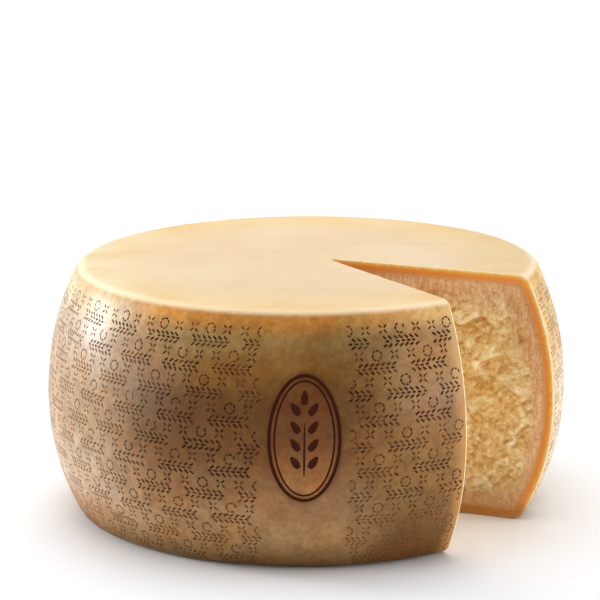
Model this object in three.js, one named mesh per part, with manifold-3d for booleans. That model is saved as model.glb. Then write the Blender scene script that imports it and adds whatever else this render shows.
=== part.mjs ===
// A wheel of hard aged cheese, standing on its flat face, with one wedge broken out of its front right.
// Millimetres, +Z up. The origin is the middle of the underside. -Y is the front, +X the right.
// The wheel is one piece: a barrel-shaped body of revolution, a little uneven and a little out of plumb,
// less a wedge whose two walls are smooth through the rind and flaky further in.

import * as THREE from 'three';
import { mergeVertices } from 'three/addons/utils/BufferGeometryUtils.js';
import Module from 'manifold-3d';

// Driving dimensions of the wheel
const HEIGHT = 211.5;
const WIDEST_RADIUS = 220;
const WIDEST_AT = 104.5;
const TOP_DROP = 26.3;
const BOTTOM_DROP = 28.8;
const UPPER_BULGE = 2.05;
const LOWER_BULGE = 2.2;
const TOP_ROUNDING = 8;
const BOTTOM_ROUNDING = 7;
const LEAN = new THREE.Vector2(2.8, 3.6);
const UNEVENNESS = 0.9;

// Driving dimensions of the notch, seen from above, with its directions in degrees from +X
const NOTCH_POINT = new THREE.Vector2(16.8, 7.4);
const RIGHT_WALL_DIRECTION = -23.9;
const LEFT_WALL_DIRECTION = -59;
const BLUNTNESS = 7;

// The broken walls
const RIND = 8;
const SMOOTH_EDGE = 12;
const SMOOTH_TO_FLAKY = 16;
const FLAKE_SIZE = 17;
const FLAKE_RELIEF = 4.2;
const FLAKE_EDGE = 12;
const SWELL_SIZE = 62;
const SWELL_RELIEF = 2.2;
const FLAKE_STRETCH = 1.5;
const FLAKE_SLANT = 24;

// How finely the faces are divided
const SEGMENTS_ROUND = 96;
const BELLY_STEPS = 12;
const CORNER_STEPS = 3;
const WALL_STEP = 5.6;
const CUTTER_REACH = 300;
const CUTTER_MARGIN = 12;

const CHEESE_COLOUR = 0xd9a866;

const radians = THREE.MathUtils.degToRad;

// The barrel's radius at a height, before its two corners are rounded.
function barrelRadius(z) {
  if (z > WIDEST_AT) {
    return WIDEST_RADIUS - TOP_DROP * ((z - WIDEST_AT) / (HEIGHT - WIDEST_AT)) ** UPPER_BULGE;
  }
  return WIDEST_RADIUS - BOTTOM_DROP * ((WIDEST_AT - z) / WIDEST_AT) ** LOWER_BULGE;
}

// The half section of the wheel, from the middle of the underside round the belly to the middle of the top.
function halfSection() {
  const points = [new THREE.Vector2(0, 0)];
  for (const corner of [roundedCorner(BOTTOM_ROUNDING, false), belly(), roundedCorner(TOP_ROUNDING, true)]) {
    points.push(...corner);
  }
  points.push(new THREE.Vector2(0, HEIGHT));
  return points;
}

// A corner as a curve that leaves the flat face level and joins the barrel along its own slope.
function roundedCorner(rounding, atTop) {
  const faceZ = atTop ? HEIGHT : 0;
  const bellyZ = atTop ? HEIGHT - rounding : rounding;
  const curve = new THREE.QuadraticBezierCurve(
    new THREE.Vector2(barrelRadius(faceZ) - rounding, faceZ),
    new THREE.Vector2(barrelRadius(faceZ), faceZ),
    new THREE.Vector2(barrelRadius(bellyZ), bellyZ),
  );
  const points = curve.getPoints(CORNER_STEPS);
  return atTop ? points.reverse() : points;
}

function belly() {
  const points = [];
  const low = BOTTOM_ROUNDING;
  const high = HEIGHT - TOP_ROUNDING;
  for (let step = 1; step < BELLY_STEPS; step += 1) {
    const z = low + ((high - low) * step) / BELLY_STEPS;
    points.push(new THREE.Vector2(barrelRadius(z), z));
  }
  return points;
}

// How far the side stands out from a true circle, in long shallow waves.
function unevenness(angle, z) {
  const rise = z / HEIGHT;
  return UNEVENNESS * (
    0.6 * Math.sin(2 * angle + 0.7 + 1.3 * rise)
    + 0.45 * Math.sin(3 * angle - 1.1 + 2.2 * rise)
    + 0.35 * Math.sin(5 * angle + 2.3 - 3.1 * rise)
  );
}

function wheelGeometry() {
  const geometry = new THREE.LatheGeometry(halfSection(), SEGMENTS_ROUND);
  geometry.rotateX(Math.PI / 2);
  const position = geometry.getAttribute('position');
  const point = new THREE.Vector3();
  for (let index = 0; index < position.count; index += 1) {
    point.fromBufferAttribute(position, index);
    const radius = Math.hypot(point.x, point.y);
    const angle = Math.atan2(point.y, point.x);
    const grown = radius + unevenness(angle, point.z) * (radius / WIDEST_RADIUS);
    const leaning = point.z / HEIGHT - 0.5;
    position.setXYZ(
      index,
      grown * Math.cos(angle) + LEAN.x * leaning,
      grown * Math.sin(angle) + LEAN.y * leaning,
      point.z,
    );
  }
  return geometry;
}

// A repeatable number from 0 to 1 for each cell of a grid.
function cellNumber(column, row, layer) {
  let bits = Math.imul(column, 0x27d4eb2d) ^ Math.imul(row, 0x165667b1) ^ Math.imul(layer, 0x9e3779b1);
  bits = Math.imul(bits ^ (bits >>> 15), 0x85ebca6b);
  bits = Math.imul(bits ^ (bits >>> 13), 0xc2b2ae35);
  return ((bits ^ (bits >>> 16)) >>> 0) / 2 ** 32;
}

// Flaky relief, from about -1 to 1: each cell holds one flake, a small plane of its own height and tilt,
// and a point takes its height from the flakes whose middles are nearest.
function flakes(u, v, size, layer) {
  const column = Math.floor(u / size);
  const row = Math.floor(v / size);
  let sum = 0;
  let weights = 0;
  for (let i = column - 1; i <= column + 1; i += 1) {
    for (let j = row - 1; j <= row + 1; j += 1) {
      const du = u / size - (i + 0.15 + 0.7 * cellNumber(i, j, layer));
      const dv = v / size - (j + 0.15 + 0.7 * cellNumber(i, j, layer + 1));
      const level = 2 * cellNumber(i, j, layer + 2) - 1;
      const tiltU = 2 * cellNumber(i, j, layer + 3) - 1;
      const tiltV = 2 * cellNumber(i, j, layer + 4) - 1;
      const weight = Math.exp(-FLAKE_EDGE * (du * du + dv * dv));
      sum += weight * (0.7 * level + tiltU * du + tiltV * dv);
      weights += weight;
    }
  }
  return sum / weights;
}

// The depth of a point of the half section below the wheel's skin: the nearest of its side, top and underside.
function depthBelowSkin(radius, z) {
  const slope = barrelRadius(z + 1) - barrelRadius(z - 1);
  const belowSide = (barrelRadius(z) - radius) / Math.hypot(1, slope / 2);
  return Math.max(0, Math.min(belowSide, z, HEIGHT - z));
}

// How far a broken wall stands out of its plane at a distance along the walls and a height.
function wallRelief(along, z, depth) {
  const slant = radians(FLAKE_SLANT);
  const u = (along * Math.cos(slant) + z * Math.sin(slant)) / FLAKE_STRETCH;
  const v = z * Math.cos(slant) - along * Math.sin(slant);
  const flaky = THREE.MathUtils.smoothstep(depth, SMOOTH_EDGE, SMOOTH_EDGE + SMOOTH_TO_FLAKY);
  const swelling = THREE.MathUtils.smoothstep(depth, RIND, SMOOTH_EDGE + 2 * SMOOTH_TO_FLAKY);
  return FLAKE_RELIEF * flaky * flakes(u, v, FLAKE_SIZE, 11)
    + SWELL_RELIEF * swelling * flakes(u, v, SWELL_SIZE, 29);
}

// A point on the walls of the notch. Its place along them runs from the left wall's far end, below zero,
// round the blunt point of the notch at zero, to the right wall's far end.
const MIDDLE_DIRECTION = radians((RIGHT_WALL_DIRECTION + LEFT_WALL_DIRECTION) / 2);
const HALF_OPENING = radians((RIGHT_WALL_DIRECTION - LEFT_WALL_DIRECTION) / 2);
function wallPoint(along, z) {
  const forward = Math.hypot(along * Math.cos(HALF_OPENING), BLUNTNESS);
  const aside = along * Math.sin(HALF_OPENING);
  const middle = new THREE.Vector2(Math.cos(MIDDLE_DIRECTION), Math.sin(MIDDLE_DIRECTION));
  const across = new THREE.Vector2(-middle.y, middle.x);
  const place = NOTCH_POINT.clone().addScaledVector(middle, forward).addScaledVector(across, aside);

  // The normal looks out of the cheese, into the notch.
  const steepness = (along * Math.cos(HALF_OPENING) ** 2) / forward;
  const normal = middle.clone().multiplyScalar(Math.sin(HALF_OPENING))
    .addScaledVector(across, -steepness)
    .normalize();
  place.addScaledVector(normal, wallRelief(along, z, depthBelowSkin(place.length(), z)));
  return new THREE.Vector3(place.x, place.y, z);
}

// The wedge that is taken out: one sheet folded round the notch's point, closed by two ends and a far side.
function wedgeGeometry() {
  const columns = 2 * Math.ceil(WIDEST_RADIUS / WALL_STEP) + 2;
  const rows = Math.round(HEIGHT / WALL_STEP) + 2;
  const sheet = new THREE.PlaneGeometry(1, 1, columns, rows);
  const position = sheet.getAttribute('position');
  const half = columns / 2;
  for (let row = 0; row <= rows; row += 1) {
    for (let column = 0; column <= columns; column += 1) {
      const steps = column - half;
      const farEnd = Math.abs(steps) === half;
      const along = -(farEnd ? Math.sign(steps) * CUTTER_REACH : steps * WALL_STEP);
      const point = wallPoint(along, rowHeight(row, rows));
      position.setXYZ(row * (columns + 1) + column, point.x, point.y, point.z);
    }
  }
  const faces = Array.from(sheet.getIndex().array);
  const at = (row, column) => row * (columns + 1) + column;
  for (let column = 0; column < half; column += 1) {
    const opposite = columns - column;
    for (const [row, upward] of [[0, true], [rows, false]]) {
      const quad = [at(row, column), at(row, column + 1), at(row, opposite - 1), at(row, opposite)];
      faces.push(...quadFaces(quad, upward));
    }
  }
  for (let row = 0; row < rows; row += 1) {
    const quad = [at(row, 0), at(row, columns), at(row + 1, columns), at(row + 1, 0)];
    faces.push(...quadFaces(quad, true));
  }
  sheet.setIndex(faces);
  return sheet;
}

// The first and last rows of the sheet stand clear above and below the wheel.
function rowHeight(row, rows) {
  if (row === 0) {
    return HEIGHT + CUTTER_MARGIN;
  }
  if (row === rows) {
    return -CUTTER_MARGIN;
  }
  return HEIGHT * (1 - (row - 1) / (rows - 2));
}

function quadFaces([a, b, c, d], forward) {
  const triangles = [];
  for (const triangle of [[a, b, c], [a, c, d]]) {
    if (new Set(triangle).size === 3) {
      triangles.push(...(forward ? triangle : triangle.reverse()));
    }
  }
  return triangles;
}

const wasm = await Module();
wasm.setup();

function toSolid(geometry) {
  const bare = geometry.clone();
  bare.deleteAttribute('normal');
  bare.deleteAttribute('uv');
  const merged = mergeVertices(bare, 1e-4);
  return new wasm.Manifold(new wasm.Mesh({
    numProp: 3,
    vertProperties: new Float32Array(merged.getAttribute('position').array),
    triVerts: new Uint32Array(merged.getIndex().array),
  }));
}

function toGeometry(solid) {
  const mesh = solid.getMesh();
  const geometry = new THREE.BufferGeometry();
  geometry.setAttribute('position', new THREE.BufferAttribute(mesh.vertProperties, 3));
  geometry.setIndex(new THREE.BufferAttribute(mesh.triVerts, 1));
  geometry.computeVertexNormals();
  return geometry;
}

const wheel = toSolid(wheelGeometry());
const wedge = toSolid(wedgeGeometry());
const cheese = new THREE.Mesh(
  toGeometry(wheel.subtract(wedge)),
  new THREE.MeshStandardMaterial({ color: CHEESE_COLOUR, roughness: 0.55, metalness: 0 }),
);
cheese.name = 'cheese_wheel';

const object = new THREE.Group();
object.add(cheese);

export default object;
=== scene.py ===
import math

import bpy
import numpy as np
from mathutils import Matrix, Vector
from mathutils.geometry import delaunay_2d_cdt
from mathutils.kdtree import KDTree


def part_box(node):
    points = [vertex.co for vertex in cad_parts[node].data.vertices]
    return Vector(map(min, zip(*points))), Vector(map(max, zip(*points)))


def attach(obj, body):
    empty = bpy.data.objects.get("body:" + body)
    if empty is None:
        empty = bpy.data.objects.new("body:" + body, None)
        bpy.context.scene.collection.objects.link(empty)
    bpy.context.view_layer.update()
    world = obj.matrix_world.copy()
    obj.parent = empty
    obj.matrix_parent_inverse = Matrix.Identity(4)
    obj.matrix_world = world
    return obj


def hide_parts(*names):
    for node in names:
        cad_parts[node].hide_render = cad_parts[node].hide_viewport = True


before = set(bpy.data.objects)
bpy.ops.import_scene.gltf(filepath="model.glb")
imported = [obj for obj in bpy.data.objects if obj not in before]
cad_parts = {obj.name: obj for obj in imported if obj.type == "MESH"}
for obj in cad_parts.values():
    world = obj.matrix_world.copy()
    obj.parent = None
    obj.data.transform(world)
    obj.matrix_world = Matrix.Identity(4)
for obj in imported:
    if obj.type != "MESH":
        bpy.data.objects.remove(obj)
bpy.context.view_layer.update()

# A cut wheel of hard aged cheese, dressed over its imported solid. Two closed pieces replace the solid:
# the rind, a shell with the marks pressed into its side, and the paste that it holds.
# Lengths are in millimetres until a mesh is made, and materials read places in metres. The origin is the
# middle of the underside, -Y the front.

NODE = "cheese_wheel"
METRE = 1000.0

# The wheel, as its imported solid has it
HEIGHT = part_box(NODE)[1].z * METRE
WIDEST_RADIUS = 220.0
WIDEST_AT = 104.5
TOP_DROP = 26.3
BOTTOM_DROP = 28.8
UPPER_BULGE = 2.05
LOWER_BULGE = 2.2
TOP_ROUNDING = 8.0
BOTTOM_ROUNDING = 7.0
LEAN = np.array([2.8, 3.6])
UNEVENNESS = 0.9

# The notch and its broken walls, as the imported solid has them
NOTCH_POINT = np.array([16.8, 7.4])
RIGHT_WALL_DIRECTION = -23.9
LEFT_WALL_DIRECTION = -59.0
BLUNTNESS = 7.0
RIND = 8.0
FLAKE_STRETCH = 1.5
FLAKE_SLANT = math.radians(24.0)

# The relief of the broken walls: flakes and swells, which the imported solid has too, and finer crumbs and
# grains. Each row is the height, the depths where it begins and where it is full, the size of a flake, the
# layer of its numbers and how sharply it ends.
COARSE_RELIEF = ((4.2, 12.0, 28.0, 17.0, 11, 12.0), (2.2, RIND, 44.0, 62.0, 29, 12.0))
FINE_RELIEF = ((1.5, RIND + 2, RIND + 16, 6.2, 71, 26.0), (0.75, RIND, RIND + 5, 3.2, 97, 18.0))

# How far round a point its surroundings are measured, and the relief of the skin
CREST_REACH = 3.2
SKIN_DENT_SIZE = 34.0
SKIN_DENT_RELIEF = 0.35
SKIN_DENT_FADE = 24.0
TOP_DIP_SIZE = 48.0
TOP_DIP_RELIEF = 0.5
TOP_DIP_FADE = 30.0
SOFT_EDGE = 5.0

# How finely the faces are divided
PROFILE_SAMPLES = 600
CUT_STEP = 1.8
EDGE_BEVEL = 0.8
BAND_RINGS = 4
WALL_STEP = 1.12
WALL_MARGIN = WALL_STEP * 0.6
WALL_JITTER = 0.18
SIDE_STEP = 5.4
ARC_STEP = 3.6
CORNER_REACH = 13.0
CORNER_FIRST_ROW = 1.6
CORNER_ROW_STEP = 1.9
LID_STEP = 5.5
UNDERSIDE_STEP = LID_STEP * 1.6
HIDDEN_STEP = 14.0
MARK_CLEARANCE = 1.5

# The marks on the side. The plate is the smooth stretch that carries the burnt emblem.
PLATE_DIRECTION = -90.4
PLATE_WIDTH = 74.0
MARK_COLUMNS = 28
MARK_ROWS = 10
LOWEST_ROW = 14.0
ROW_PITCH = 20.6
DASH_LENGTH = 3.9
DASH_WIDTH = 1.45
EAR_WIDTH = 1.85
DASH_DEPTH = 0.7
DASH_CUT_CLEARANCE = 1.3
DASH_GAP = 0.12
DASH_CELL = 5.0
EAR_PAIRS = 7
EAR_PITCH = 4.9
EAR_SLANT = 37.0
EAR_SPREAD = 3.1
RING_RADIUS = 4.0
RING_DASHES = 7
STAR_RADIUS = 3.1
MARK_PATCH = 95.0

# The burnt emblem: an ear of grain in a double oval
EMBLEM_HEIGHT_OF_MIDDLE = 114.0
EMBLEM_HALF_WIDTH = 29.5
EMBLEM_HALF_HEIGHT = 52.0
EMBLEM_LINE = 2.9
EMBLEM_INNER_LINE = 1.6
EMBLEM_GAP = 3.6
EMBLEM_DEPTH = 0.9
KERNEL_PAIRS = 4
KERNEL_PITCH = 14.2
KERNEL_LENGTH = 15.0
KERNEL_WIDTH = 6.2
KERNEL_ASIDE = 7.3
KERNEL_LEAN = 0.62
STEM_WIDTH = 1.7

# The camera, from the photo's viewing angle
LENS = 180.04
CAMERA_DISTANCE = 2571.4
CAMERA_ELEVATION = math.radians(14.46)
AIM_ABOVE = 68.9
AIM_LEFT = 4.6
CAMERA_ROLL = 0.0058

RANDOM = np.random.default_rng(20)


# Short helpers

def add_object(name, data):
    thing = bpy.data.objects.new(name, data)
    bpy.context.scene.collection.objects.link(thing)
    return thing


def join(*parts):
    return np.concatenate(parts)


def columns(*parts):
    return np.column_stack(parts)


# The form of the wheel

def unit(angle):
    return np.array([math.cos(angle), math.sin(angle)])


def barrel_radius(z):
    """The barrel's radius at a height, before its two corners are rounded."""
    above = np.clip((z - WIDEST_AT) / (HEIGHT - WIDEST_AT), 0, None)
    below = np.clip((WIDEST_AT - z) / WIDEST_AT, 0, None)
    return WIDEST_RADIUS - TOP_DROP * above**UPPER_BULGE - BOTTOM_DROP * below**LOWER_BULGE


def side_length_per_height(z):
    slope = barrel_radius(z + 1) - barrel_radius(z - 1)
    return np.hypot(1, slope / 2)


def radius_under_rind(z):
    return barrel_radius(z) - RIND * side_length_per_height(z)


def corner(rounding, face_z, belly_z):
    """A rounded corner of the half section, from the flat face to the belly."""
    t = np.linspace(0, 1, PROFILE_SAMPLES // 4)[:, None]
    start = np.array([barrel_radius(face_z) - rounding, face_z])
    middle = np.array([barrel_radius(face_z), face_z])
    end = np.array([barrel_radius(belly_z), belly_z])
    return start * (1 - t)**2 + middle * 2 * t * (1 - t) + end * t**2


def side_profile():
    """The side's half section, from the underside's edge to the top's: arc length, radius and height."""
    z = np.linspace(BOTTOM_ROUNDING, HEIGHT - TOP_ROUNDING, PROFILE_SAMPLES)[1:-1]
    belly = columns(barrel_radius(z), z)
    bottom = corner(BOTTOM_ROUNDING, 0.0, BOTTOM_ROUNDING)
    top = corner(TOP_ROUNDING, HEIGHT, HEIGHT - TOP_ROUNDING)[::-1]
    points = join(bottom, belly, top)
    steps = np.linalg.norm(np.diff(points, axis=0), axis=1)
    return join([0.0], np.cumsum(steps)), points[:, 0], points[:, 1]


ARC, ARC_RADIUS, ARC_HEIGHT = side_profile()
SIDE_LENGTH = ARC[-1]


def on_profile(arc):
    """The side's radius and height at an arc length."""
    return np.interp(arc, ARC, ARC_RADIUS), np.interp(arc, ARC, ARC_HEIGHT)


def unevenness(angle, z):
    """How far the side stands out from a true circle, in long shallow waves."""
    rise = z / HEIGHT
    return UNEVENNESS * (
        0.6 * np.sin(2 * angle + 0.7 + 1.3 * rise)
        + 0.45 * np.sin(3 * angle - 1.1 + 2.2 * rise)
        + 0.35 * np.sin(5 * angle + 2.3 - 3.1 * rise)
    )


def lean(z):
    """How far the wheel's axis has moved sideways at a height."""
    return (np.asarray(z) / HEIGHT - 0.5)[..., None] * LEAN


def from_polar(radius, angle, z):
    """A point of the wheel from its radius before the unevenness and the lean."""
    grown = radius + unevenness(angle, z) * (radius / WIDEST_RADIUS)
    return columns(columns(grown * np.cos(angle), grown * np.sin(angle)) + lean(z), z)


def side_point(angle, arc, sunk=0.0):
    """A point of the side from its direction and its arc length up the side, pressed in by sunk."""
    radius, z = on_profile(arc)
    lower_radius, lower_z = on_profile(arc - 0.5)
    upper_radius, upper_z = on_profile(arc + 0.5)
    across = upper_z - lower_z
    up = lower_radius - upper_radius
    size = np.hypot(across, up)
    dented = sunk + skin_dents(angle, arc)
    return from_polar(radius - dented * across / size, angle, z - dented * up / size)


# Repeatable flaky relief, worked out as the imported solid's own

def cell_number(column, row, layer):
    """A repeatable number from 0 to 1 for each cell of a grid."""
    def wrapped(value, factor):
        return (value * np.uint64(factor)) & np.uint64(0xFFFFFFFF)

    across = (column & 0xFFFFFFFF).astype(np.uint64)
    up = (row & 0xFFFFFFFF).astype(np.uint64)
    layers = np.uint64((layer * 0x9E3779B1) & 0xFFFFFFFF)
    bits = wrapped(across, 0x27D4EB2D) ^ wrapped(up, 0x165667B1) ^ layers
    bits = wrapped(bits ^ (bits >> np.uint64(15)), 0x85EBCA6B)
    bits = wrapped(bits ^ (bits >> np.uint64(13)), 0xC2B2AE35)
    return (bits ^ (bits >> np.uint64(16))) / 2.0**32


def flakes(u, v, size, layer, edge):
    """Flaky relief from about -1 to 1: each cell of a grid holds one flake of its own height and tilt.

    The layer picks the cells' numbers, and a high edge makes the flakes end sharply.
    """
    column = np.floor(u / size).astype(np.int64)
    row = np.floor(v / size).astype(np.int64)
    total = np.zeros(u.shape)
    weights = np.zeros(u.shape)
    for i in (column - 1, column, column + 1):
        for j in (row - 1, row, row + 1):
            du = u / size - (i + 0.15 + 0.7 * cell_number(i, j, layer))
            dv = v / size - (j + 0.15 + 0.7 * cell_number(i, j, layer + 1))
            level = 2 * cell_number(i, j, layer + 2) - 1
            tilt_u = 2 * cell_number(i, j, layer + 3) - 1
            tilt_v = 2 * cell_number(i, j, layer + 4) - 1
            weight = np.exp(-edge * (du**2 + dv**2))
            total += weight * (0.7 * level + tilt_u * du + tilt_v * dv)
            weights += weight
    return total / weights


def smoothstep(value, start, end):
    t = np.clip((value - start) / (end - start), 0, 1)
    return t * t * (3 - 2 * t)


def skin_dents(angle, arc):
    """Shallow hand-made dents of the side, which fade out towards its two rims."""
    fade = smoothstep(np.minimum(arc, SIDE_LENGTH - arc), 0, SKIN_DENT_FADE)
    along = WIDEST_RADIUS * np.mod(angle + math.radians(90), math.tau)
    return fade * SKIN_DENT_RELIEF * (0.5 + 0.5 * flakes(along, arc, SKIN_DENT_SIZE, 53, SOFT_EDGE))


# The walls of the notch. A place on them is its distance along, below zero on the left wall, and its height.

MIDDLE_DIRECTION = math.radians((RIGHT_WALL_DIRECTION + LEFT_WALL_DIRECTION) / 2)
HALF_OPENING = math.radians((RIGHT_WALL_DIRECTION - LEFT_WALL_DIRECTION) / 2)
MIDDLE = unit(MIDDLE_DIRECTION)
ACROSS = np.array([-MIDDLE[1], MIDDLE[0]])


def depth_below_skin(radius, z):
    """The depth of a point of the half section below the nearest of the side, the top and the underside."""
    below_side = (barrel_radius(z) - radius) / side_length_per_height(z)
    return np.maximum(0, np.minimum(np.minimum(below_side, z), HEIGHT - z))


def wall_plan(along):
    """The walls before their relief, seen from above, and their normal, which looks into the notch."""
    forward = np.hypot(along * math.cos(HALF_OPENING), BLUNTNESS)
    aside = along * math.sin(HALF_OPENING)
    place = NOTCH_POINT + forward[:, None] * MIDDLE + aside[:, None] * ACROSS
    steepness = along * math.cos(HALF_OPENING)**2 / forward
    normal = math.sin(HALF_OPENING) * MIDDLE - steepness[:, None] * ACROSS
    return place, normal / np.linalg.norm(normal, axis=1)[:, None]


def wall_relief(along, z, depth):
    """How far the walls stand out, in coordinates along and across the slanted flakes."""
    u = (along * math.cos(FLAKE_SLANT) + z * math.sin(FLAKE_SLANT)) / FLAKE_STRETCH
    v = z * math.cos(FLAKE_SLANT) - along * math.sin(FLAKE_SLANT)
    coarse, fine = [sum(height * smoothstep(depth, begins, full) * flakes(u, v, size, layer, edge)
                        for height, begins, full, size, layer, edge in rows)
                    for rows in (COARSE_RELIEF, FINE_RELIEF)]
    return coarse + fine


def wall_points(wall):
    """Points of the broken walls, their depth below the skin, and how far they stand out locally."""
    along, z = wall.T
    place, normal = wall_plan(along)
    depth = depth_below_skin(np.linalg.norm(place, axis=1), z)
    relief = wall_relief(along, z, depth)
    place = place + normal * relief[:, None]
    around = np.zeros(len(z))
    for angle in np.arange(6) * math.tau / 6:
        right, up = CREST_REACH * unit(angle)
        around += wall_relief(along + right, z + up, depth) / 6
    return columns(place, z), depth, relief - around


# Distances along a wall, of which those next to the point are passed over
PLAN_ALONG = np.linspace(0, 260, 2601)
PASSED_OVER = 100


def along_at_radius(radius, z, side):
    """How far along a wall, +1 the right and -1 the left, a circle of that radius at a height is met."""
    plan, _ = wall_plan(side * PLAN_ALONG)
    along = np.empty(len(z))
    for row, (wanted, height) in enumerate(zip(radius, z)):
        offset = plan - lean(height)
        reached = np.linalg.norm(offset, axis=1)
        angle = np.arctan2(offset[:, 1], offset[:, 0])
        grown = wanted + unevenness(angle, height) * (wanted / WIDEST_RADIUS)
        along[row] = np.interp(0, (reached - grown)[PASSED_OVER:], PLAN_ALONG[PASSED_OVER:])
    return side * along


def cut_directions(cut_loop, points):
    """The directions of the right and of the left cut's points about the leaning axis, each upwards."""
    offset = points[:, :2] - lean(points[:, 2])
    angle = np.arctan2(offset[:, 1], offset[:, 0])
    angle = np.where(angle < MIDDLE_DIRECTION, angle + math.tau, angle)
    return angle[cut_loop.right], angle[cut_loop.left][::-1]


class CutLoop:
    """The loop where the walls of the notch meet the skin, or where they meet the rind's inner surface.

    It runs up the right wall, along the top to the notch's point and out again, down the left wall and back
    along the underside, so that it turns anticlockwise for someone who looks at the walls from the notch.
    """

    def __init__(self, radius, z, edge_count):
        up_right = columns(along_at_radius(radius, z, 1), z)
        up_left = columns(along_at_radius(radius, z, -1), z)
        share = np.linspace(1, -1, edge_count + 2)[1:-1]
        self.right = np.arange(len(z))
        self.top = len(z) + np.arange(edge_count)
        self.left = self.top[-1] + 1 + np.arange(len(z))
        self.bottom = self.left[-1] + 1 + np.arange(edge_count)
        top = self.edge(share, up_right[-1], up_left[-1])
        bottom = self.edge(-share, up_right[0], up_left[0])
        self.wall = join(up_right, top, up_left[::-1], bottom)

    @staticmethod
    def edge(share, right_end, left_end):
        along = np.where(share > 0, share * right_end[0], -share * left_end[0])
        return columns(along, np.full(len(share), right_end[1]))


def outer_loop():
    arc = np.linspace(0, SIDE_LENGTH, round(SIDE_LENGTH / CUT_STEP))
    edge_count = 2 * round(ARC_RADIUS[-1] / CUT_STEP)
    loop = CutLoop(*on_profile(arc), edge_count)
    loop.arc = arc
    return loop


def inner_loop(outer):
    """The outer loop's counterpart at the depth of the rind, with as many points."""
    z = np.linspace(RIND, HEIGHT - RIND, len(outer.right))
    return CutLoop(radius_under_rind(z), z, len(outer.top))


# Meshes

class Shell:
    """Points and faces gathered into one mesh."""

    def __init__(self):
        self.points = []
        self.values = []
        self.faces = []
        self.slots = []
        self.count = 0

    def add_points(self, points, depth=0.0, crest=0.0):
        """Adds points, with their depth below the skin and how far they stand out. Returns their numbers."""
        values = np.empty((len(points), 2))
        values[:, 0] = depth
        values[:, 1] = crest
        self.points.append(points)
        self.values.append(values)
        self.count += len(points)
        return np.arange(self.count - len(points), self.count)

    def all_points(self):
        return join(*self.points)

    def add_faces(self, faces, slot):
        self.faces.append(faces)
        self.slots.append(np.broadcast_to(slot, len(faces)))

    def add_strip(self, outside, inside, slot):
        """Closes the gap between two loops of as many points, the inside one on the left."""
        a, b = outside, np.roll(outside, -1)
        c, d = np.roll(inside, -1), inside
        self.add_faces(join(columns(a, b, c), columns(a, c, d)), slot)

    def make(self, name, materials, attributes):
        """The mesh object. attributes maps a name to one number for each point."""
        slots = join(*self.slots)
        mesh = bpy.data.meshes.new(name)
        mesh.from_pydata(self.all_points() / METRE, [], join(*self.faces), shade_flat=False)
        mesh.polygons.foreach_set("material_index", (slots % HIDDEN).astype(np.int32))
        for material in materials:
            mesh.materials.append(material)
        for key, numbers in attributes.items():
            layer = mesh.attributes.new(key, "FLOAT", "POINT")
            layer.data.foreach_set("value", numbers.astype(np.float32))
        mark_sharp_edges(mesh, slots)
        mesh.validate()
        return add_object(name, mesh)


def mark_sharp_edges(mesh, slots):
    """Edges between two slots are sharp, so that no shading runs from one into the other."""
    edge_of_loop = np.empty(len(mesh.loops), dtype=np.int32)
    mesh.loops.foreach_get("edge_index", edge_of_loop)
    slot_of_loop = np.repeat(slots, 3)
    lowest = np.full(len(mesh.edges), 99)
    highest = np.full(len(mesh.edges), -1)
    np.minimum.at(lowest, edge_of_loop, slot_of_loop)
    np.maximum.at(highest, edge_of_loop, slot_of_loop)
    layer = mesh.attributes.new("sharp_edge", "BOOLEAN", "EDGE")
    layer.data.foreach_set("value", lowest != highest)


def triangulate(flat, loops):
    """Triangles, as rows of flat, inside the first loop, which keep the edges of every loop."""
    edges = [(int(a), int(b)) for loop in loops for a, b in zip(loop, np.roll(loop, -1))]
    made = delaunay_2d_cdt([Vector(point) for point in flat], edges, [], 1, 1e-5, True)
    names = [inputs[0] for inputs in made[3]]
    faces = np.array([[names[number] for number in face] for face in made[2]])
    on_border = np.isin(faces, loops[0]).all(axis=1)
    keep = np.ones(len(faces), dtype=bool)
    keep[on_border] = is_inside(flat[faces[on_border]].mean(axis=1), flat[loops[0]])
    return faces[keep]


def is_inside(points, outline):
    """Which of the points lie inside a closed outline."""
    ends = np.roll(outline, -1, axis=0)
    rise = ends[:, 1] - outline[:, 1]
    rise = np.where(rise == 0, 1.0, rise)
    x, y = points[:, :1], points[:, 1:]
    passes = (outline[:, 1] > y) != (ends[:, 1] > y)
    crossing = outline[:, 0] + (y - outline[:, 1]) * (ends[:, 0] - outline[:, 0]) / rise
    return (passes & (x < crossing)).sum(axis=1) % 2 == 1


def staggered_grid(low, high, step):
    """Points of a triangular grid that fills a rectangle."""
    rows = np.arange(low[1], high[1], step * math.sqrt(3) / 2)
    row = np.arange(low[0], high[0], step)
    x = row + step / 2 * (np.arange(len(rows)) % 2)[:, None]
    return columns(x.ravel(), np.repeat(rows, len(row)))


def distance_to(points, others):
    """Each point's distance to the nearest of the others."""
    tree = KDTree(len(others))
    for number, other in enumerate(others):
        tree.insert(other, number)
    tree.balance()
    return np.array([tree.find(point)[2] for point in points])


def away_from(points, others, clearance):
    """The points of a plane that are further than the clearance from every one of the others."""
    level = ((0, 0), (0, 1))
    return points[distance_to(np.pad(points, level), np.pad(others, level)) > clearance]


def add_lid(shell, rim, edge, step, slot, upward, relief):
    """A level face between the rim, a row of points anticlockwise round it, and the edge of the notch."""
    loop = join(rim, edge)
    outline = shell.all_points()[loop]
    z = outline[0, 2]
    grid = staggered_grid(outline.min(axis=0), outline.max(axis=0), step)
    grid = away_from(grid[is_inside(grid, outline[:, :2])], outline[:, :2], step / 2)
    heights = z + relief(grid) if relief else np.full(len(grid), z)
    added = shell.add_points(columns(grid, heights))
    flat = join(outline[:, :2], grid)
    faces = join(loop, added)[triangulate(flat, [np.arange(len(loop))])]
    shell.add_faces(faces if upward else faces[:, ::-1], slot)


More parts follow.
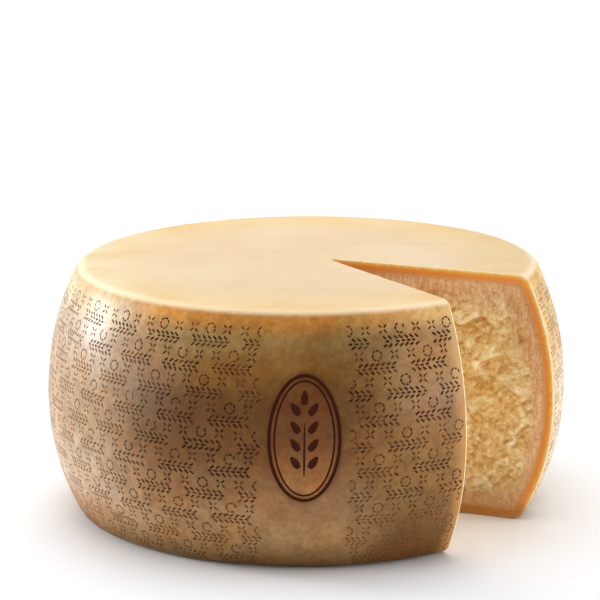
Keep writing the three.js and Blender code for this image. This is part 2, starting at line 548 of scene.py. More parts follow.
def add_lids(shell, cut_loop, numbers, rims, steps, slot, outward, relief):
    """The level faces above and below, inside the rims from the right cut to the left cut."""
    upper_rim = join([numbers[cut_loop.right[-1]]], rims[0], [numbers[cut_loop.left[0]]])
    add_lid(shell, upper_rim, numbers[cut_loop.top][::-1], steps[0], slot, outward, relief)
    lower_rim = join([numbers[cut_loop.right[0]]], rims[1][::-1], [numbers[cut_loop.left[-1]]])
    add_lid(shell, lower_rim, numbers[cut_loop.bottom], steps[1], slot, not outward, None)


# The marks, in the side's own flat coordinates: the distance round the belly and the arc length up the side

class Marks:
    """Closed outlines with a pressed-in line along the middle of each."""

    def __init__(self):
        self.points = []
        self.sunk = []
        self.tone = []
        self.loops = []
        self.count = 0
        self.taken = {}

    def is_free(self, outline):
        """True if this outline keeps clear of every earlier one. It is then kept for later tests."""
        column, row = np.floor(outline.mean(axis=0) / DASH_CELL).astype(int)
        for i in (column - 1, column, column + 1):
            for j in (row - 1, row, row + 1):
                if not all(are_apart(outline, other) for other in self.taken.get((i, j), ())):
                    return False
        self.taken.setdefault((column, row), []).append(outline)
        return True

    def add(self, outlines, spine, depth, tone):
        for outline in outlines:
            self.loops.append(self.count + np.arange(len(outline)))
            self.extend(outline, 0.0, -1)
        self.extend(spine, depth, tone)

    def extend(self, points, depth, tone):
        self.points.extend(points)
        self.sunk.extend([depth] * len(points))
        self.tone.extend([tone] * len(points))
        self.count += len(points)

    def add_dash(self, middle, heading, length, width, depth, tone):
        ahead = unit(heading)
        side = np.array([-ahead[1], ahead[0]])
        end = ahead * (length / 2)
        spine_end = ahead * (length / 2 - width * 0.45)
        half = side * (width / 2)
        outline = np.array([middle - end - half * 0.8, middle + end - half, middle + end + half * 0.8,
                            middle - end + half])
        if self.is_free(outline):
            self.add([outline], [middle - spine_end, middle + spine_end], depth, tone)


def are_apart(first, second):
    """True if a straight gap separates two convex outlines."""
    for outline in (first, second):
        sides = np.roll(outline, -1, axis=0) - outline
        normals = columns(sides[:, 1], -sides[:, 0]) / np.linalg.norm(sides, axis=1)[:, None]
        a, b = normals @ first.T, normals @ second.T
        if (np.maximum(a.min(axis=1) - b.max(axis=1), b.min(axis=1) - a.max(axis=1)) > DASH_GAP).any():
            return True
    return False


def turn(offset, angle):
    c, s = math.cos(angle), math.sin(angle)
    return np.array([offset[0] * c - offset[1] * s, offset[0] * s + offset[1] * c])


def ear_strip(facing):
    """Dashes of a little ear of grain along its row: middles, headings, shares of the length, widths."""
    dashes = []
    half = EAR_PAIRS * EAR_PITCH / 2
    for pair in range(EAR_PAIRS):
        x = (pair + 0.5) * EAR_PITCH - half
        for side in (-1, 1):
            heading = side * facing * math.radians(EAR_SLANT)
            dashes.append((np.array([x * facing, side * EAR_SPREAD]), heading, 1.0, EAR_WIDTH))
        dashes.append((np.array([(x - 0.4 * EAR_PITCH) * facing, 0.0]), 0.0, 0.8, EAR_WIDTH))
    return dashes


def dashes_round(middle, count, radius, turned, size):
    """Dashes on a small circle, each turned by an angle from the direction of the middle."""
    angles = (np.arange(count) + 0.5) * math.tau / count
    return [(middle + radius * unit(a), a + turned, size, DASH_WIDTH) for a in angles]


def cell_marks(facing, pitch):
    """The dashes of one cell: an ear along its row, and above it a ring between two stars."""
    between = ROW_PITCH / 2
    dashes = ear_strip(facing)
    dashes += dashes_round(np.array([0.0, between]), RING_DASHES, RING_RADIUS, math.pi / 2, 0.74)
    for side in (-1, 1):
        dashes += dashes_round(np.array([side * pitch / 3, between]), 4, STAR_RADIUS, 0.0, 0.85)
    return dashes


def mark_tone(power):
    if power < 0.75:
        return MARK_LIGHT
    return MARK_MEDIUM if power < 0.98 else MARK_DARK


def pressed_marks(right_edge, left_edge):
    """All the dashes of the side, in rows that are staggered by half a cell."""
    marks = Marks()
    once_round = math.tau * WIDEST_RADIUS
    start = WIDEST_RADIUS * math.radians(PLATE_DIRECTION) + PLATE_WIDTH / 2
    pitch = (once_round - PLATE_WIDTH) / MARK_COLUMNS
    for row in range(MARK_ROWS):
        facing = 1 if row % 2 == 0 else -1
        for column in range(-1, MARK_COLUMNS):
            across = start + (column + 0.5 + 0.5 * (row % 2)) * pitch
            cell = np.array([across, LOWEST_ROW + row * ROW_PITCH]) + RANDOM.normal(0, 0.3, 2)
            tilt = RANDOM.normal(0, 0.012)
            patch = flakes(cell[:1], cell[1:], MARK_PATCH, 83, 4.0)[0]
            strength = 0.98 + 0.4 * patch + RANDOM.normal(0, 0.08)
            for offset, heading, size, width in cell_marks(facing, pitch):
                middle = cell + turn(offset, tilt) + RANDOM.normal(0, 0.12, 2)
                wobble, stretch, faint = RANDOM.normal(0, 1, 3)
                if not start < middle[0] < start + once_round - PLATE_WIDTH:
                    continue
                middle[0] += once_round if middle[0] < WIDEST_RADIUS * MIDDLE_DIRECTION else 0
                room = min(middle[0] - np.interp(middle[1], *right_edge),
                           np.interp(middle[1], *left_edge) - middle[0])
                if room < DASH_LENGTH / 2 + DASH_CUT_CLEARANCE:
                    continue
                power = np.clip(strength + 0.14 * faint, 0.4, 1.3)
                heading += tilt + 0.05 * wobble
                length = DASH_LENGTH * size * (1 + 0.06 * stretch)
                width *= 0.7 + 0.3 * power
                marks.add_dash(middle, heading, length, width, DASH_DEPTH * power, mark_tone(power))
    return marks


def oval(inset):
    angles = np.arange(120) * math.tau / 120
    return columns(np.cos(angles), np.sin(angles)) * (EMBLEM_HALF_WIDTH - inset, EMBLEM_HALF_HEIGHT - inset)


def kernel(middle, heading, length, width):
    """The outline and the middle line of one grain, pointed at its far end."""
    t = np.linspace(0, 1, 9)
    half = width / 2 * np.sin(math.pi * t**0.8)
    x = (t - 0.5) * length
    upper = columns(x, half)
    lower = columns(x[1:-1], -half[1:-1])
    outline = [middle + turn(point, heading) for point in join(lower, upper[::-1])]
    spine = [middle + turn((point, 0), heading) for point in x[2:-2]]
    return outline, spine


def add_emblem(marks):
    """The burnt emblem: two ovals, and inside them a stem with grains on both its sides."""
    around = WIDEST_RADIUS * (math.radians(PLATE_DIRECTION) + math.tau)
    middle = np.array([around, np.interp(EMBLEM_HEIGHT_OF_MIDDLE, ARC_HEIGHT, ARC)])
    inset = 0.0
    for line in (EMBLEM_LINE, EMBLEM_INNER_LINE):
        outside, inside, spine = [middle + oval(inset + part * line) for part in (0, 1, 0.5)]
        marks.add([outside, inside], spine, EMBLEM_DEPTH, BURNT)
        inset += line + EMBLEM_GAP - EMBLEM_INNER_LINE
    stem_low = -EMBLEM_HALF_HEIGHT * 0.72
    first_pair = stem_low + 16
    top_pair = first_pair + (KERNEL_PAIRS - 1) * KERNEL_PITCH
    grains = [((0, (stem_low + top_pair) / 2), math.pi / 2, top_pair - stem_low, STEM_WIDTH)]
    for pair in range(KERNEL_PAIRS):
        for side in (-1, 1):
            place = (side * KERNEL_ASIDE, first_pair + pair * KERNEL_PITCH + 3)
            grains.append((place, math.pi / 2 - side * KERNEL_LEAN, KERNEL_LENGTH, KERNEL_WIDTH))
    grains.append(((0, top_pair + 12.0), math.pi / 2, KERNEL_LENGTH, KERNEL_WIDTH))
    for place, heading, length, width in grains:
        outline, spine = kernel(middle + np.array(place), heading, length, width)
        marks.add([outline], spine, EMBLEM_DEPTH, BURNT)


# The two pieces

SKIN, SECTION, BURNT, MARK_DARK, MARK_MEDIUM, MARK_LIGHT = range(6)
# Added to the slot of the faces where rind and paste lie against each other, which are never seen
HIDDEN = 10


def rim_row(start, end, step):
    """Directions between two ends, without them."""
    count = max(2, round(abs(end - start) * WIDEST_RADIUS / step))
    return np.linspace(start, end, count + 1)[1:-1]


def top_relief(grid):
    """The top is very slightly uneven."""
    distance = np.linalg.norm(grid, axis=1)
    fade = smoothstep(ARC_RADIUS[-1] - distance, 0, TOP_DIP_FADE)
    return -TOP_DIP_RELIEF * fade * (0.5 + 0.5 * flakes(grid[:, 0], grid[:, 1], TOP_DIP_SIZE, 61, SOFT_EDGE))


def unrolled_border(left_angle, right_angle, rise, top_row, bottom_row):
    """The border of the side, unrolled flat: the left cut upwards, the top, the right cut and the bottom."""
    parts = ((left_angle, rise), (top_row[::-1], rise[-1]), (right_angle[::-1], rise[::-1]),
             (bottom_row[::-1], rise[0]))
    return join(*(columns(*np.broadcast_arrays(WIDEST_RADIUS * angle, height)) for angle, height in parts))


def border_numbers(cut_loop, numbers, rims):
    return join(numbers[cut_loop.left][::-1], rims[0][::-1], numbers[cut_loop.right][::-1], rims[1][::-1])


def add_outer_skin(shell, outer):
    """The side with its marks, the top and the underside. Returns the numbers of the points at the cut."""
    plan, normal = wall_plan(outer.wall[:, 0])
    inset_plan = plan - normal * EDGE_BEVEL
    at_cut = columns(inset_plan, outer.wall[:, 1])
    right_angle, left_angle = cut_directions(outer, at_cut)
    at_cut[outer.right] = side_point(right_angle, outer.arc)
    at_cut[outer.left] = side_point(left_angle, outer.arc)[::-1]
    cut = shell.add_points(at_cut)

    top_row = rim_row(right_angle[-1], left_angle[-1], ARC_STEP)
    bottom_row = rim_row(left_angle[0], right_angle[0], ARC_STEP)
    top_rim = shell.add_points(side_point(top_row, np.full(len(top_row), SIDE_LENGTH)))
    bottom_rim = shell.add_points(side_point(bottom_row, np.zeros(len(bottom_row))))

    border = unrolled_border(left_angle, right_angle, outer.arc, top_row, bottom_row)
    rims = (top_rim, bottom_rim)
    add_side(shell, outer.arc, right_angle, left_angle, border, border_numbers(outer, cut, rims))
    add_lids(shell, outer, cut, rims, (LID_STEP, UNDERSIDE_STEP), SKIN, True, top_relief)
    return cut


def add_side(shell, arc, right_angle, left_angle, border, numbers):
    """The side, unrolled flat for its triangles."""
    right_edge = (arc, WIDEST_RADIUS * right_angle)
    left_edge = (arc, WIDEST_RADIUS * left_angle)
    marks = pressed_marks(right_edge, left_edge)
    add_emblem(marks)
    marked = np.array(marks.points)

    first, last = right_edge[1].min(), left_edge[1].max()
    grid = staggered_grid((first, 0), (last, SIDE_LENGTH), SIDE_STEP)
    middle_part = (grid[:, 1] > CORNER_REACH) & (grid[:, 1] < SIDE_LENGTH - CORNER_REACH)
    corner_rows = np.arange(CORNER_FIRST_ROW, CORNER_REACH, CORNER_ROW_STEP)
    corners = [staggered_grid((first, low), (last, low + 0.1), ARC_STEP)
               for low in join(corner_rows, SIDE_LENGTH - corner_rows)]
    fill = join(grid[middle_part], *corners)
    fill = away_from(fill[is_inside(fill, border)], join(marked, border), MARK_CLEARANCE)

    flat = join(border, marked, fill)
    sunk = join(marks.sunk, np.zeros(len(fill)))
    inner_flat = flat[len(border):]
    added = shell.add_points(side_point(inner_flat[:, 0] / WIDEST_RADIUS, inner_flat[:, 1], sunk))
    loops = [np.arange(len(border))] + [loop + len(border) for loop in marks.loops]
    faces = triangulate(flat, loops)
    tones = join(np.full(len(border), -1), marks.tone, np.full(len(fill), -1))
    tone = tones[faces].max(axis=1)
    shell.add_faces(join(numbers, added)[faces], np.where(tone < 0, SKIN, tone))


def add_cut_band(shell, outer, inner, cut):
    """The rind's own section, from the bevelled edge of the cut to the paste."""
    def ring_points(part):
        return wall_points(outer.wall + (inner.wall - outer.wall) * part)[0]

    edge_points = columns(wall_plan(outer.wall[:, 0])[0], outer.wall[:, 1])
    bevel = EDGE_BEVEL / RIND
    bevel_end = ring_points(bevel)
    middle = shell.all_points()[cut] / 4 + edge_points / 2 + bevel_end / 4
    rings = [cut, shell.add_points(middle, EDGE_BEVEL / 4), shell.add_points(bevel_end, EDGE_BEVEL)]
    for ring_number in range(1, BAND_RINGS + 1):
        part = bevel + (1 - bevel) * ring_number / BAND_RINGS
        rings.append(shell.add_points(ring_points(part), RIND * part))
    for outside, inside in zip(rings, rings[1:]):
        shell.add_strip(outside, inside, SECTION)
    return rings[-1]


def add_hidden_skin(shell, inner, loop, slot, outward):
    """The surface between the rind and the paste, which is never seen."""
    points = shell.all_points()[loop]
    right_angle, left_angle = cut_directions(inner, points)
    z = points[inner.right, 2]

    def hidden_points(direction, height):
        return shell.add_points(from_polar(radius_under_rind(height), direction, height), RIND)

    top_row = rim_row(right_angle[-1], left_angle[-1], HIDDEN_STEP)
    bottom_row = rim_row(left_angle[0], right_angle[0], HIDDEN_STEP)
    rims = (hidden_points(top_row, np.full(len(top_row), z[-1])),
            hidden_points(bottom_row, np.full(len(bottom_row), z[0])))
    border = unrolled_border(left_angle, right_angle, z, top_row, bottom_row)
    low, high = border.min(axis=0), border.max(axis=0)
    grid = staggered_grid(low, high, HIDDEN_STEP)
    margin = (HIDDEN_STEP, HIDDEN_STEP / 2)
    grid = grid[((grid > low + margin) & (grid < high - margin)).all(axis=1)]
    added = hidden_points(grid[:, 0] / WIDEST_RADIUS, grid[:, 1])
    numbers = join(border_numbers(inner, loop, rims), added)
    faces = numbers[triangulate(join(border, grid), [np.arange(len(border))])]
    shell.add_faces(faces if outward else faces[:, ::-1], slot)
    add_lids(shell, inner, loop, rims, (HIDDEN_STEP, HIDDEN_STEP), slot, outward, None)


def make_rind(outer, inner, materials):
    shell = Shell()
    cut = add_outer_skin(shell, outer)
    inner_numbers = add_cut_band(shell, outer, inner, cut)
    add_hidden_skin(shell, inner, inner_numbers, SECTION + HIDDEN, False)
    points = shell.all_points()
    depth = join(*shell.values)[:, 0]
    near_cut = distance_to(points, points[cut])
    return shell.make("wheel_rind", materials, {"depth": depth, "near_cut": near_cut})


def make_paste(inner, materials):
    """The paste: its broken walls in full detail, and the hidden surface that the rind covers."""
    shell = Shell()
    loop = shell.add_points(*wall_points(inner.wall))
    z = inner.wall[inner.right, 1]
    right_reach = inner.wall[inner.right, 0]
    left_reach = inner.wall[inner.left, 0][::-1]
    low = (left_reach.min(), z[0] + WALL_STEP * 0.7)
    grid = staggered_grid(low, (right_reach.max(), z[-1] - WALL_MARGIN), WALL_STEP)
    grid += RANDOM.uniform(-WALL_JITTER, WALL_JITTER, grid.shape)
    grid = grid[(grid[:, 0] < np.interp(grid[:, 1], z, right_reach) - WALL_MARGIN)
                & (grid[:, 0] > np.interp(grid[:, 1], z, left_reach) + WALL_MARGIN)]
    added = shell.add_points(*wall_points(grid))
    flat = join(inner.wall, grid)
    faces = triangulate(flat, [np.arange(len(loop))])
    shell.add_faces(join(loop, added)[faces], 0)
    add_hidden_skin(shell, inner, loop, HIDDEN, True)
    values = join(*shell.values)
    return shell.make("wheel_paste", materials, {"depth": values[:, 0], "crest": values[:, 1]})


# Materials

class Graph:
    """A material's nodes, made by short calls that take and give sockets."""

    def __init__(self, name):
        self.material = bpy.data.materials.new(name)
        self.material.use_nodes = True
        self.tree = self.material.node_tree
        self.shader = self.tree.nodes["Principled BSDF"]
        self.place = self.node("ShaderNodeTexCoord", {}, "Object")

    def feed(self, node, inputs):
        for key, value in inputs.items():
            if isinstance(value, bpy.types.NodeSocket):
                self.tree.links.new(value, node.inputs[key])
            else:
                node.inputs[key].default_value = value

    def node(self, kind, inputs, output=0, **settings):
        made = self.tree.nodes.new(kind)
        for key, value in settings.items():
            setattr(made, key, value)
        self.feed(made, inputs)
        return made.outputs[output]

    def scaled(self, factors, vector=None):
        return self.node("ShaderNodeVectorMath", {0: vector or self.place, 1: factors}, operation="MULTIPLY")

    def axis(self, letter):
        return self.node("ShaderNodeSeparateXYZ", {0: self.place}, letter)

    def length(self, vector):
        return self.node("ShaderNodeVectorMath", {0: vector}, "Value", operation="LENGTH")

    def from_axis(self):
        return self.length(self.scaled((1.0, 1.0, 0.0)))

    def distance_from(self, centre, reach):
        """How far a place is from a centre, counted in the reach along each axis."""
        offset = self.node("ShaderNodeVectorMath", {0: self.place, 1: centre}, operation="SUBTRACT")
        return self.length(self.node("ShaderNodeVectorMath", {0: offset, 1: reach}, operation="DIVIDE"))

    def attribute(self, name):
        return self.node("ShaderNodeAttribute", {}, "Fac", attribute_name=name)

    def noise(self, scale, detail=3.0, roughness=0.55, vector=None):
        return self.node("ShaderNodeTexNoise", {"Vector": vector or self.place, "Scale": scale,
                                                "Detail": detail, "Roughness": roughness})

    def span(self, value, low, high, start=0.0, end=1.0, how="SMOOTHSTEP"):
        """The value between low and high, carried into the range from start to end."""
        return self.node("ShaderNodeMapRange", {0: value, 1: low, 2: high, 3: start, 4: end},
                         interpolation_type=how)

    def math(self, operation, *values):
        return self.node("ShaderNodeMath", dict(enumerate(values)), operation=operation)

    def blend(self, first, share, second):
        """The first number by its share and the second by the rest."""
        return self.math("MULTIPLY_ADD", first, share, self.math("MULTIPLY", second, 1.0 - share))

    def mix(self, factor, first, second, how="MIX"):
        first = (*first, 1.0) if isinstance(first, tuple) else first
        second = (*second, 1.0) if isinstance(second, tuple) else second
        colours = {0: factor, 6: first, 7: second}
        return self.node("ShaderNodeMix", colours, 2, data_type="RGBA", blend_type=how)

    def tint(self, first, second, value, low, high, start=0.0, end=1.0, how="MIX"):
        """The first colour mixed with the second, by the span of a value."""
        return self.mix(self.span(value, low, high, start, end), first, second, how)

    def ramp(self, value, stops):
        made = self.tree.nodes.new("ShaderNodeValToRGB")
        elements = made.color_ramp.elements
        while len(elements) < len(stops):
            elements.new(0.5)
        for element, (position, *colour) in zip(elements, stops):
            element.position = position
            element.color = (*colour, 1.0)
        self.tree.links.new(value, made.inputs[0])
        return made.outputs[0]

    def bump(self, height, distance, strength=1.0):
        return self.node("ShaderNodeBump", {"Height": height, "Distance": distance, "Strength": strength})

    def finish(self, **inputs):
        """The material, with its shader's inputs by their names."""
        self.feed(self.shader, {key.replace("_", " "): value for key, value in inputs.items()})
        return self.material


# Colours of the side's skin, by the share of the height, at the left flank, the front and the right front.
# They were worked out from the photo's colours measured there, with the render's own light taken out.
# These colours hold painted light and shade: the front's are brownest at the middle of the belly with
# painted shade, the left flank's are paled with a painted sheen, and all are darker at the foot with painted
# shade.
PAINTED_SHEEN_FLANK = (
    (0.03, 0.217, 0.109, 0.028), (0.12, 0.404, 0.242, 0.116), (0.22, 0.525, 0.418, 0.322),
    (0.35, 0.453, 0.338, 0.234), (0.5, 0.381, 0.253, 0.14), (0.64, 0.403, 0.261, 0.142),
    (0.75, 0.405, 0.296, 0.197), (0.86, 0.432, 0.366, 0.301), (0.95, 0.57, 0.52, 0.43))
PAINTED_SHADE_FRONT = (
    (0.03, 0.238, 0.135, 0.047), (0.12, 0.432, 0.256, 0.113), (0.2, 0.423, 0.239, 0.108),
    (0.37, 0.289, 0.141, 0.049), (0.47, 0.196, 0.083, 0.015), (0.66, 0.161, 0.072, 0.021),
    (0.8, 0.313, 0.159, 0.041), (0.9, 0.366, 0.233, 0.09), (0.96, 0.605, 0.285, 0.06))
RIGHT_FRONT = (
    (0.03, 0.16, 0.058, 0.0055), (0.11, 0.17, 0.068, 0.012), (0.28, 0.239, 0.126, 0.038),
    (0.46, 0.312, 0.16, 0.044), (0.62, 0.267, 0.128, 0.036), (0.8, 0.389, 0.228, 0.095),
    (0.9, 0.391, 0.22, 0.098), (0.96, 0.67, 0.394, 0.147))

# The rind's own section, by the share of its depth
# The pale first stop is partly the rind's outer layer and partly a painted highlight on the bevelled edge.
RIND_SECTION = (
    (0.0, 0.97, 0.83, 0.49), (0.13, 0.97, 0.71, 0.28), (0.3, 0.92, 0.44, 0.07),
    (0.6, 0.86, 0.31, 0.035), (0.84, 0.82, 0.3, 0.07), (1.0, 0.79, 0.38, 0.145))

# The middle and the reach along each axis of the emblem's rings and of the painted shade on the skin above
# them, in metres
EMBLEM_CENTRE = (-0.0015, -0.219, 0.114)
EMBLEM_REACH = (0.0295, 0.06, 0.052)
SHADE_CENTRE = (0.034, -0.21, 0.176)
SHADE_REACH = (0.055, 0.09, 0.05)


def side_colour(graph, patches, mottle, pores):
    """Tan, with painted shade that makes it brownest round the front of the belly and darker at its foot,
    painted sheen, light and highlight that pale its flanks and left shoulder, and a scorched skin at the
    emblem.
    """
    across, back, height = [graph.axis(letter) for letter in "XYZ"]
    share = graph.span(height, 0.0, HEIGHT / METRE, how="LINEAR")
    pale, front, right = [graph.ramp(share, stops) for stops in (PAINTED_SHEEN_FLANK, PAINTED_SHADE_FRONT, RIGHT_FRONT)]
    # Painted shade: the front's colours, brownest at the middle of the belly.
    side = graph.tint(front, right, across, 0.015, 0.085)
    # Painted sheen: the left flank's colours.
    side = graph.tint(side, pale, across, -0.185, -0.115, 1.0, 0.0)
    # Painted light from the right, palest low on the right flank.
    right_flank_painted_light = graph.tint((0.67, 0.57, 0.45), (0.54, 0.37, 0.15), height, 0.11, 0.16)
    # Painted highlight on the left shoulder, under the rim.
    painted_shoulder_highlight = graph.tint((0.66, 0.515, 0.33), side, across, -0.17, -0.105)
    side = graph.tint(side, painted_shoulder_highlight, height, 0.176, 0.2, 0.0, 0.8)
    tanned = graph.tint(side, (0.48, 0.32, 0.165), across, -0.02, 0.2)
    side = graph.tint(side, right_flank_painted_light, across, 0.165, 0.205)
    side = graph.tint(side, tanned, back, -0.01, 0.08)
    # Painted glow of light along the far left edge of the side.
    side = graph.tint(side, (1.04, 1.09, 1.22), across, -0.21, -0.18, 0.8, 0.0, "MULTIPLY")
    rings = graph.distance_from(EMBLEM_CENTRE, EMBLEM_REACH)
    scorched = graph.tint((0.56, 0.24, 0.06), (0.185, 0.06, 0.018), height, 0.07, 0.12)
    side = graph.tint(side, scorched, rings, 0.88, 1.05, 0.55, 0.0)
    near_ring = graph.math("ABSOLUTE", graph.math("SUBTRACT", rings, 0.95))
    side = graph.tint(side, (0.12, 0.035, 0.01), near_ring, 0.03, 0.15, 0.5, 0.0)
    tints = graph.noise(36.0)
    for noise, low, high, dark, light in (
            (patches, 0.34, 0.66, (0.95, 0.89, 0.82), (1.05, 1.03, 1.01)),
            (tints, 0.36, 0.64, (1.05, 0.95, 0.82), (0.98, 1.03, 1.07)),
            (mottle, 0.36, 0.64, (0.86, 0.81, 0.74), (1.12, 1.14, 1.15)),
            (pores, 0.34, 0.66, (0.89, 0.86, 0.82), (1.07, 1.08, 1.09))):
        side = graph.mix(1.0, side, graph.tint(dark, light, noise, low, high), "MULTIPLY")
    # Painted shade on the skin above the emblem.
    painted_shade_above_emblem = graph.distance_from(SHADE_CENTRE, SHADE_REACH)
    side = graph.tint(side, (0.76, 0.73, 0.68), painted_shade_above_emblem, 0.4, 1.0, 1.0, 0.0, "MULTIPLY")
    cut_tint = graph.tint((0.66, 0.33, 0.1), (0.74, 0.49, 0.23), height, 0.13, 0.19)
    return graph.tint(side, cut_tint, graph.attribute("near_cut"), 0.0, 14.0, 0.6, 0.0)


def top_colour(graph, patches):
    """Cream with a faint grain, more golden and softly stained towards its edge, with a painted highlight
    along the edge itself and painted shade over its right part.
    """
    across = graph.axis("X")
    from_axis = graph.from_axis()
    grain = graph.noise(60.0, 4.0, 0.6, graph.scaled((0.25, 3.0, 1.0)))
    top = graph.tint((0.83, 0.645, 0.42), (0.8, 0.6, 0.365), grain, 0.35, 0.65)
    top = graph.tint(top, (0.87, 0.705, 0.5), patches, 0.4, 0.65, 0.0, 0.5)
    rim = graph.tint((0.92, 0.78, 0.53), (0.89, 0.66, 0.345), across, -0.185, -0.11)
    stains = graph.noise(11.0, 3.0, 0.5, graph.scaled((1.0, 1.7, 0.0)))
    rim = graph.tint(rim, (0.82, 0.53, 0.185), stains, 0.42, 0.66, 0.0, 0.7)
    top = graph.tint(top, rim, from_axis, 0.11, 0.19, 0.0, 0.8)
    # Painted highlight along the top's rounded edge.
    top = graph.tint(top, (0.93, 0.81, 0.59), from_axis, 0.184, 0.195, 0.0, 0.6)
    # Painted shade over the top's right part.
    return graph.tint(top, (0.9, 0.9, 0.93), across, 0.1, 0.2, how="MULTIPLY")


def skin_material():
    """The rind seen from outside: its side and its top."""
    graph = Graph("rind_skin")
    patches = graph.noise(13.0, 3.0, 0.5)
    mottle = graph.noise(48.0, 6.0, 0.8)
    pores = graph.noise(210.0, 4.0, 0.6)
    side = side_colour(graph, patches, mottle, pores)
    top = top_colour(graph, patches)
    colour = graph.tint(side, top, graph.axis("Z"), (HEIGHT - 5.0) / METRE, (HEIGHT - 1.0) / METRE)
    normal = graph.bump(graph.blend(mottle, 0.6, pores), 0.0009, 0.45)
    return graph.finish(Base_Color=colour, Roughness=graph.span(mottle, 0.3, 0.7, 0.4, 0.54), Normal=normal,
                        Specular_IOR_Level=0.18, Coat_Weight=0.15, Coat_Roughness=0.24)


def section_material():
    """The rind at the cut: a light line at the skin, partly its outer layer and partly a painted highlight
    on the bevel, then orange, turning pink towards the paste, and darker at the foot with painted shade.
    """
    graph = Graph("rind_section")
    fibres = graph.noise(260.0)
    depth = graph.math("ADD", graph.attribute("depth"), graph.span(fibres, 0.3, 0.7, -0.5, 0.5))
    colour = graph.ramp(graph.span(depth, 0.0, RIND, how="LINEAR"), RIND_SECTION)
    # Painted shade at the foot of the section.
    colour = graph.tint(colour, (0.42, 0.17, 0.03), graph.axis("Z"), 0.004, 0.022, 0.85, 0.0)
    return graph.finish(Base_Color=colour, Roughness=graph.span(fibres, 0.3, 0.7, 0.42, 0.6),
                        Normal=graph.bump(fibres, 0.0006, 0.4))


def paste_material():
    """The broken paste: pinkish and streaked next to the rind, then straw yellow with pale and ochre lumps,
    paler on its crests with a painted highlight and darker in its hollows, its upper part by the rind and
    its foot with painted shade.
    """
    graph = Graph("paste")
    height = graph.axis("Z")
    depth = graph.attribute("depth")
    slanted = graph.node("ShaderNodeVectorRotate", {0: graph.place, 2: (0.0, 1.0, 0.0), 3: -0.45})
    clouds = graph.noise(26.0, 4.0, 0.6)
    crags = graph.noise(34.0, 7.0, 0.85, graph.scaled((0.75, 0.75, 1.25), slanted))
    crumbs = graph.noise(240.0, 4.0, 0.65, graph.scaled((0.7, 0.7, 1.2), slanted))
    grains = graph.noise(480.0, 2.0, 0.6)
    streaks = graph.noise(90.0, 3.0, 0.6, graph.scaled((5.0, 5.0, 0.8)))
    heart = graph.tint((0.87, 0.59, 0.218), (0.99, 0.73, 0.31), depth, 50.0, 80.0)
    inner = graph.tint(heart, (0.89, 0.64, 0.275), clouds, 0.35, 0.65)
    # The crest attribute paints highlights on the relief's crests and shade in its hollows, mixed with the
    # lumps' own colour.
    standing_out = graph.math("MULTIPLY", graph.attribute("crest"), 0.06)
    lumps_and_painted_relief_shading = graph.math("ADD", standing_out, graph.blend(crags, 0.8, crumbs))
    inner = graph.tint(inner, (0.59, 0.315, 0.076), lumps_and_painted_relief_shading, 0.39, 0.5, 0.75, 0.0)
    inner = graph.tint(inner, (0.99, 0.9, 0.58), lumps_and_painted_relief_shading, 0.49, 0.61, 0.0, 0.9)
    outer = graph.tint((0.81, 0.445, 0.2), (0.95, 0.67, 0.39), streaks, 0.35, 0.65)
    outer = graph.tint((0.74, 0.36, 0.14), outer, depth, RIND - 0.5, RIND + 4.5)
    wander = graph.math("ADD", depth, graph.span(clouds, 0.3, 0.7, -6.0, 6.0))
    wander = graph.math("ADD", wander, graph.span(height, 0.1, 0.185, 0.0, -9.0))
    colour = graph.tint(outer, inner, wander, RIND + 3.0, RIND + 20.0)
    # Painted shade over the upper part next to the rind.
    high_up = graph.span(height, 0.095, 0.13)
    far_out = graph.span(graph.from_axis(), 0.158, 0.18)
    colour = graph.mix(graph.math("MULTIPLY", high_up, far_out), colour, (0.9, 0.85, 0.78), "MULTIPLY")
    colour = graph.tint(colour, (0.98, 0.9, 0.66), grains, 0.52, 0.68, 0.0, 0.3)
    colour = graph.tint(colour, (0.56, 0.29, 0.08), grains, 0.32, 0.46, 0.3, 0.0)
    # Painted shade at the foot.
    colour = graph.tint(colour, (0.44, 0.22, 0.062), height, 0.004, 0.06, 0.6, 0.0)
    return graph.finish(Base_Color=colour, Roughness=graph.span(grains, 0.3, 0.7, 0.45, 0.7),
                        Normal=graph.bump(graph.blend(crumbs, 0.6, grains), 0.0016, 1.0))


def mark_material(name, colour, fading):
    """A pressed and darkened mark with a rough skin, paler on the flanks with a painted sheen, and paler low
    down.
    """
    graph = Graph(name)
    rough = graph.noise(420.0)
    aside = graph.math("ABSOLUTE", graph.axis("X"))
    # Painted sheen pales the marks on the flanks.
    colour_with_painted_sheen = graph.tint(colour, (0.27, 0.165, 0.085), aside, 0.11, 0.19, 0.0, 0.85)
    colour_with_painted_sheen = graph.tint(colour_with_painted_sheen, (0.23, 0.11, 0.042), graph.axis("Z"), 0.02, 0.085, fading, 0.0)
    return graph.finish(Base_Color=colour_with_painted_sheen, Roughness=graph.span(rough, 0.3, 0.7, 0.55, 0.75),
                        Normal=graph.bump(rough, 0.0004, 0.5), Specular_IOR_Level=0.05)


def floor_material():
    """An even white, which glows far behind the wheel, where the lights don't reach, as a backdrop does."""
    graph = Graph("floor")
    return graph.finish(Base_Color=(0.905, 0.92, 0.94, 1.0), Roughness=0.75, Specular_IOR_Level=0.2,
                        Emission_Color=(1.0, 1.0, 1.0, 1.0),
                        Emission_Strength=graph.span(graph.axis("Y"), 1.4, 4.2))


# Camera, floor and light

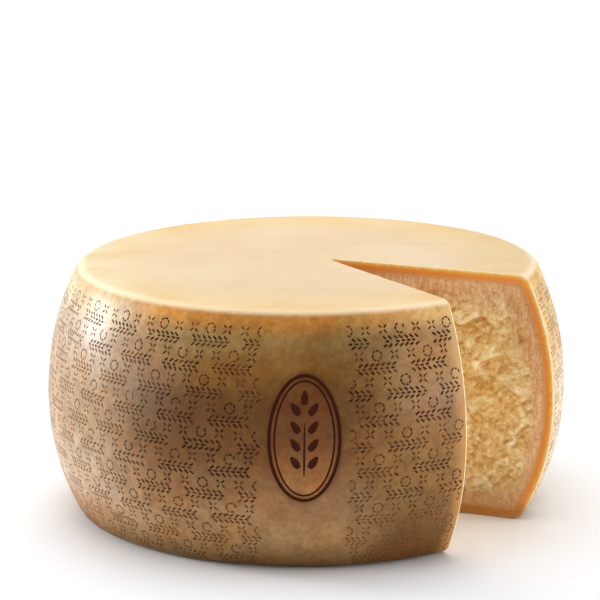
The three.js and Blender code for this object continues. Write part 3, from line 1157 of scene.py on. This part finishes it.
def make_camera():
    data = bpy.data.cameras.new("camera")
    data.lens = LENS
    data.sensor_width = 36.0
    data.clip_end = 100.0
    camera = add_object("camera", data)
    bpy.context.scene.camera = camera
    back = Vector((0, -math.cos(CAMERA_ELEVATION), math.sin(CAMERA_ELEVATION)))
    up = Vector((0, math.sin(CAMERA_ELEVATION), math.cos(CAMERA_ELEVATION)))
    centre = Vector((0, 0, HEIGHT / 2))
    aim = centre + up * AIM_ABOVE - Vector((AIM_LEFT, 0, 0))
    camera.location = (centre + back * CAMERA_DISTANCE) / METRE
    facing = (aim / METRE - camera.location).to_track_quat("-Z", "Y").to_euler()
    facing.rotate_axis("Z", -CAMERA_ROLL)
    camera.rotation_euler = facing


def make_floor():
    half = 12.0
    corners = [(-half, -half, 0), (half, -half, 0), (half, half, 0), (-half, half, 0)]
    mesh = bpy.data.meshes.new("floor")
    mesh.from_pydata(corners, [], [(0, 1, 2, 3)])
    mesh.materials.append(floor_material())
    floor = add_object("floor", mesh)


# The area lights' places, aims, sizes and powers, in metres and watts. The powers began as a fit to the
# photo's brightness and were then changed.
WHEEL_MIDDLE = (0.0, 0.0, 0.1)
LIGHTS = {
    "overhead_light": ((0.0, 1.8, 3.6), (0.0, 1.8, 0.0), (9.0, 8.0), 281.0),
    "back_light": ((0.0, 1.6, 2.4), (0.0, 0.6, 0.0), (3.0, 2.0), 12.0),
    "top_light": ((0.0, 0.2, 2.2), WHEEL_MIDDLE, (1.6, 1.6), 10.0),
    "left_back_light": ((-1.93, 0.70, 0.50), WHEEL_MIDDLE, (0.55, 0.40), 30.0),
    "left_light": ((-1.92, -0.5, 0.38), WHEEL_MIDDLE, (1.0, 0.65), 12.0),
    "right_light": ((1.95, 0.3, 0.23), WHEEL_MIDDLE, (1.2, 0.4), 22.0),
    "right_front_light": ((1.64, -1.15, 0.23), WHEEL_MIDDLE, (1.0, 0.4), 11.0),
}


def make_lights():
    for name, (place, aim, size, power) in LIGHTS.items():
        data = bpy.data.lights.new(name, "AREA")
        data.shape = "RECTANGLE"
        data.size, data.size_y = size
        data.energy = power
        light = add_object(name, data)
        light.location = place
        light.rotation_euler = (Vector(aim) - Vector(place)).to_track_quat("-Z", "Y").to_euler()
    world = bpy.data.worlds.new("world")
    world.use_nodes = True
    background = world.node_tree.nodes["Background"]
    background.inputs["Color"].default_value = (1.0, 1.0, 1.0, 1.0)
    background.inputs["Strength"].default_value = 0.03
    bpy.context.scene.world = world
    bpy.context.scene.view_settings.view_transform = "Standard"


make_camera()
make_floor()
make_lights()
cut_loop = outer_loop()
rind_loop = inner_loop(cut_loop)
rind_materials = [
    skin_material(),
    section_material(),
    mark_material("burnt_mark", (0.058, 0.013, 0.006), 0.0),
    mark_material("mark_dark", (0.048, 0.017, 0.007), 0.5),
    mark_material("mark_medium", (0.076, 0.029, 0.012), 0.6),
    mark_material("mark_light", (0.125, 0.053, 0.022), 0.7),
]
rind = make_rind(cut_loop, rind_loop, rind_materials)
paste = make_paste(rind_loop, [paste_material()])
for piece, slot_name in ((rind, "rind"), (paste, "paste")):
    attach(piece, "root")
    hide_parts(NODE)
